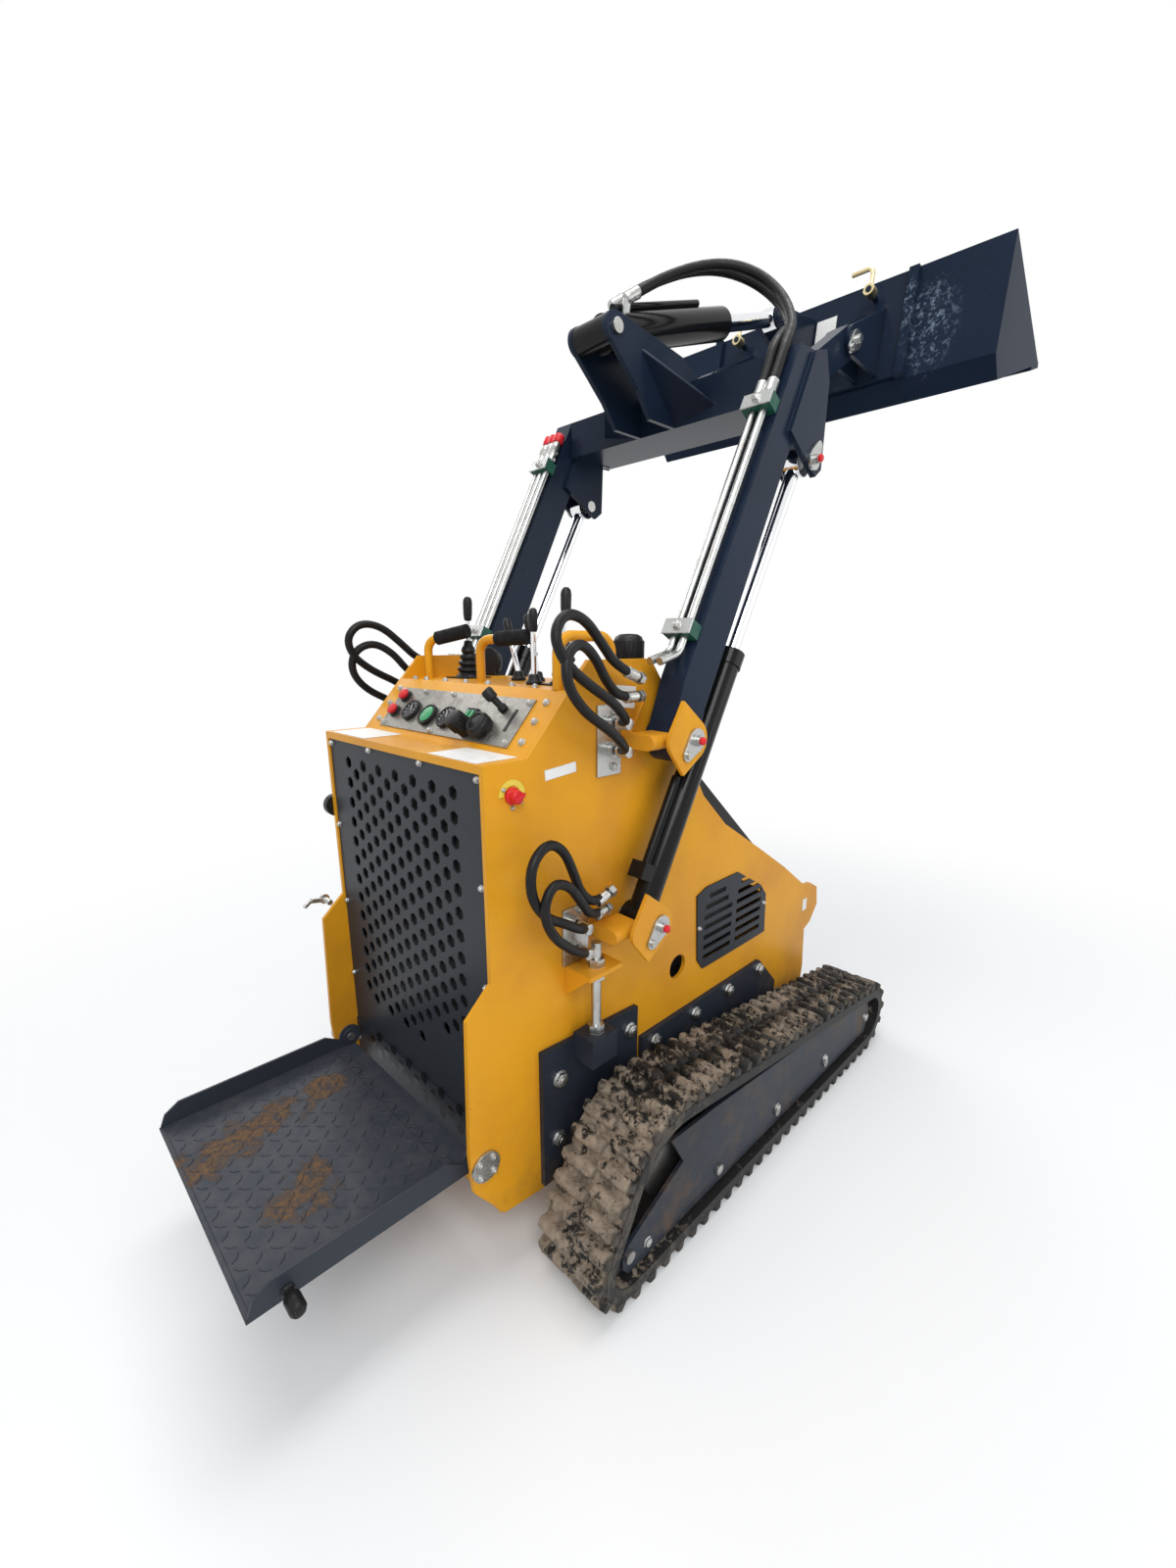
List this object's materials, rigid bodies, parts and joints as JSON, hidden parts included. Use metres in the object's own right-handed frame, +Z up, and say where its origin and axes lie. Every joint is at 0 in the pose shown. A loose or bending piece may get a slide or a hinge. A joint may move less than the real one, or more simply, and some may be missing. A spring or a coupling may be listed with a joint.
{
  "type": "compact track loader",
  "caption": "Stand-on compact track loader on rubber tracks, with raised lift arms, a bucket on a quick attach, lift and tilt cylinders and a fold-up footplate.",
  "frame": {"origin": "on the ground below the middle of the whole part's bounding box", "axes": "+X forward, +Y to the machine's left, +Z up"},
  "size_m": [2.332, 1.1, 2.268],
  "materials": {
    "paint_yellow": "semi-gloss",
    "paint_slate": "semi-gloss",
    "paint_black": "gloss",
    "zinc": "satin",
    "steel": "satin",
    "chrome": "polished",
    "grey_panel": "satin",
    "dark_plastic": "matte",
    "track_rubber": "matte",
    "hose_rubber": "satin",
    "foam": "matte",
    "green_plastic": "satin",
    "iron": "rough"
  },
  "bodies": {
    "chassis": {"side_plate_right": "paint_yellow", "side_plate_left": "paint_yellow", "body_tub": "paint_yellow", "console_deck": "paint_yellow", "rear_panel": "paint_slate", "control_panel": "grey_panel", "instruments": "dark_plastic", "engine_block": "iron", "hood_panel": "paint_black", "side_grilles": "paint_slate", "pivot_brackets": "paint_yellow", "pivot_pins": "zinc", "grab_handles": "paint_yellow", "handle_grips": "foam", "control_levers": "dark_plastic", "filler_cap": "dark_plastic", "hose_bulkheads": "zinc", "side_hoses": "hose_rubber", "track_mounts": "paint_slate", "track_adjusters": "paint_slate", "track_belt_right": "track_rubber", "track_belt_left": "track_rubber", "track_frames": "paint_slate", "track_wheels": "steel"},
    "lift_frame": {"lift_arm_right": "paint_slate", "lift_arm_left": "paint_slate", "cross_beam": "paint_slate", "frame_pins": "zinc", "arm_pipes": "zinc", "pipe_clamps": "green_plastic", "quick_couplers": "zinc", "top_hoses": "hose_rubber"},
    "attachment": {"quick_attach": "paint_slate", "hitch_pins": "zinc", "bucket": "paint_slate"},
    "latch_right": {"latch_handle_right": "zinc"},
    "latch_left": {"latch_handle_left": "zinc"},
    "footplate": {"platform": "paint_slate", "platform_latch": "dark_plastic"},
    "lift_barrel_r": {"lift_barrel_right": "paint_black"},
    "lift_rod_r": {"lift_rod_right": "chrome"},
    "lift_barrel_l": {"lift_barrel_left": "paint_black"},
    "lift_rod_l": {"lift_rod_left": "chrome"},
    "tilt_barrel_body": {"tilt_barrel": "paint_black"},
    "tilt_rod_body": {"tilt_rod": "chrome"}
  },
  "joints": [
    {"name": "lift", "type": "hinge", "parent": "chassis", "child": "lift_frame", "pos_m": [-0.294, 0, 1.052], "axis": [0, 1, 0], "range_deg": [0, 90]},
    {"name": "tilt", "type": "hinge", "parent": "lift_frame", "child": "attachment", "pos_m": [0.574, 0, 2.03], "axis": [0, -1, 0], "range_deg": [-45, 75]},
    {"name": "latch_right", "type": "hinge", "parent": "attachment", "child": "latch_right", "pos_m": [0.71755, -0.214, 2.2007], "axis": [-0.9892, 0, 0.1463], "range_deg": [0, 90]},
    {"name": "latch_left", "type": "hinge", "parent": "attachment", "child": "latch_left", "pos_m": [0.71755, 0.214, 2.2007], "axis": [0.9892, 0, -0.1463], "range_deg": [0, 90]},
    {"name": "footplate", "type": "hinge", "parent": "chassis", "child": "footplate", "pos_m": [-0.761, 0, 0.295], "axis": [0, 1, 0], "range_deg": [0, 90]},
    {"name": "tilt_barrel_swing", "type": "hinge", "parent": "lift_frame", "child": "tilt_barrel_body", "pos_m": [-0.168, 0, 1.898], "axis": [0, 1, 0], "range_deg": [-1, 1]},
    {"name": "tilt_rod_slide", "type": "slide", "parent": "tilt_barrel_body", "child": "tilt_rod_body", "axis": [0.9448, 0, 0.3275], "range_m": [-0.135, 0.082]},
    {"name": "lift_barrel_swing_r", "type": "hinge", "parent": "chassis", "child": "lift_barrel_r", "pos_m": [-0.388, -0.345, 0.687], "axis": [0, 1, 0], "range_deg": [0, 67]},
    {"name": "lift_rod_slide_r", "type": "slide", "parent": "lift_barrel_r", "child": "lift_rod_r", "axis": [0.4775, 0, 0.8786], "range_m": [-0.4, 0]},
    {"name": "lift_barrel_swing_l", "type": "hinge", "parent": "chassis", "child": "lift_barrel_l", "pos_m": [-0.388, 0.345, 0.687], "axis": [0, 1, 0], "range_deg": [0, 67]},
    {"name": "lift_rod_slide_l", "type": "slide", "parent": "lift_barrel_l", "child": "lift_rod_l", "axis": [0.4775, 0, 0.8786], "range_m": [-0.4, 0]}
  ],
  "couplings": [
    {"joint": "lift_barrel_swing_r", "follows": "lift", "ratio": 0.73407},
    {"joint": "lift_rod_slide_r", "follows": "lift", "m_per_rad": -0.25415},
    {"joint": "lift_barrel_swing_l", "follows": "lift", "ratio": 0.73407},
    {"joint": "lift_rod_slide_l", "follows": "lift", "m_per_rad": -0.25415},
    {"joint": "tilt_barrel_swing", "follows": "tilt", "ratio": 0.01},
    {"joint": "tilt_rod_slide", "follows": "tilt", "m_per_rad": -0.099145}
  ]
}
